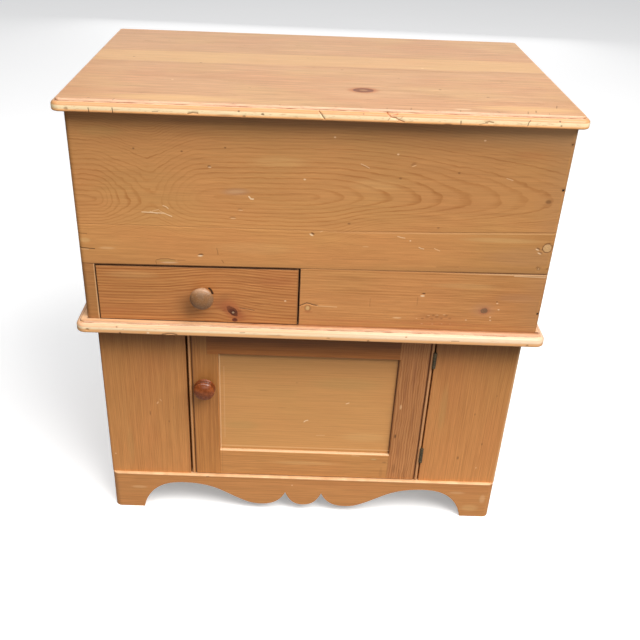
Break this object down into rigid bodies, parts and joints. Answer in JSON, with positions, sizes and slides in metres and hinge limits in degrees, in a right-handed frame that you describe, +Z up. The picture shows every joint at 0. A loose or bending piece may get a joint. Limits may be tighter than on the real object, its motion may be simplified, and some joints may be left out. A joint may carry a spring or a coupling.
{
  "type": "dry sink cabinet",
  "caption": "Old pine dry sink cabinet with a lift-lid well, a small side drawer, a moulded waist board and a cupboard with a knob-latched panelled door on a scalloped plinth.",
  "frame": {"origin": "centre of the cabinet's bounding box on the floor, between the front feet and the back", "axes": "+X to the right seen from the front, +Y from the front to the back, +Z up"},
  "size_m": [0.8, 0.521, 0.81],
  "materials": {
    "lid_pine": "waxed pine, satin",
    "front_pine": "waxed honey pine, satin",
    "box_side_pine": "waxed pine, satin",
    "waist_pine": "waxed pine, satin",
    "base_pine": "waxed pine, satin",
    "plinth_pine": "waxed pine, satin",
    "door_frame_pine": "waxed reddish pine, satin",
    "door_panel_pine": "waxed yellow pine, satin",
    "drawer_front_pine": "waxed reddish pine, satin",
    "raw_pine": "unfinished aged pine, matt",
    "back_pine": "unfinished aged pine, matt",
    "door_knob_wood": "turned hardwood, gloss",
    "drawer_knob_wood": "turned hardwood, worn matt",
    "latch_wood": "hardwood, matt",
    "plug_wood": "end grain plug",
    "hinge_iron": "dark patinated",
    "screw_iron": "dark patinated",
    "nail_iron": "rusted dark"
  },
  "bodies": {
    "cabinet": {"base_side_left": "base_pine", "base_side_right": "base_pine", "base_bottom_board": "raw_pine", "base_back_board_left": "back_pine", "base_back_board_middle": "back_pine", "base_back_board_right": "back_pine", "base_back_rail": "raw_pine", "base_back_nails": "nail_iron", "base_stile_left": "base_pine", "base_stile_right": "base_pine", "plinth_front": "plinth_pine", "foot_glue_blocks": "raw_pine", "door_stop_strip": "raw_pine", "waist_board": "waist_pine", "box_side_left": "box_side_pine", "box_side_right": "box_side_pine", "box_front_upper": "front_pine", "box_front_middle": "front_pine", "box_front_lower": "front_pine", "box_front_strip": "front_pine", "box_front_nails": "nail_iron", "box_front_plug": "plug_wood", "box_back_upper": "back_pine", "box_back_lower": "back_pine", "box_back_nails": "nail_iron", "drawer_partition": "raw_pine", "well_shelf": "raw_pine", "drawer_stop_block": "raw_pine", "lid_hinge_fixed_leaves": "hinge_iron", "lid_hinge_pins": "hinge_iron", "lid_hinge_fixed_screws": "screw_iron", "door_hinge_fixed_leaves": "hinge_iron", "door_hinge_pins": "hinge_iron", "door_hinge_fixed_screws": "screw_iron"},
    "lid": {"lid_board": "lid_pine", "lid_batten_left": "raw_pine", "lid_batten_right": "raw_pine", "lid_batten_screws": "screw_iron", "lid_hinge_moving_leaves": "hinge_iron", "lid_hinge_moving_screws": "screw_iron"},
    "door": {"door_stile_left": "door_frame_pine", "door_stile_right": "door_frame_pine", "door_rail_top": "door_frame_pine", "door_rail_bottom": "door_frame_pine", "door_panel": "door_panel_pine", "door_hinge_moving_leaves": "hinge_iron", "door_hinge_moving_screws": "screw_iron"},
    "knob_latch": {"door_knob": "door_knob_wood", "latch_tongue": "latch_wood", "latch_peg": "latch_wood"},
    "drawer": {"drawer_front": "drawer_front_pine", "drawer_side_left": "raw_pine", "drawer_side_right": "raw_pine", "drawer_back": "raw_pine", "drawer_bottom": "raw_pine", "drawer_bottom_nails": "nail_iron", "drawer_knob": "drawer_knob_wood"}
  },
  "joints": [
    {"name": "lid_hinge", "type": "hinge", "parent": "cabinet", "child": "lid", "pos_m": [0, 0.2573, 0.792], "axis": [-1, 0, 0], "range_deg": [0, 100]},
    {"name": "door_hinge", "type": "hinge", "parent": "cabinet", "child": "door", "pos_m": [0.2213, -0.2217, 0.249], "axis": [0, 0, 1], "range_deg": [0, 170]},
    {"name": "door_knob_turn", "type": "hinge", "parent": "door", "child": "knob_latch", "pos_m": [-0.1857, -0.2203, 0.2928], "axis": [0, 1, 0], "range_deg": [0, 90]},
    {"name": "drawer_slide", "type": "slide", "parent": "cabinet", "child": "drawer", "axis": [0, -1, 0], "range_m": [0, 0.33]}
  ]
}
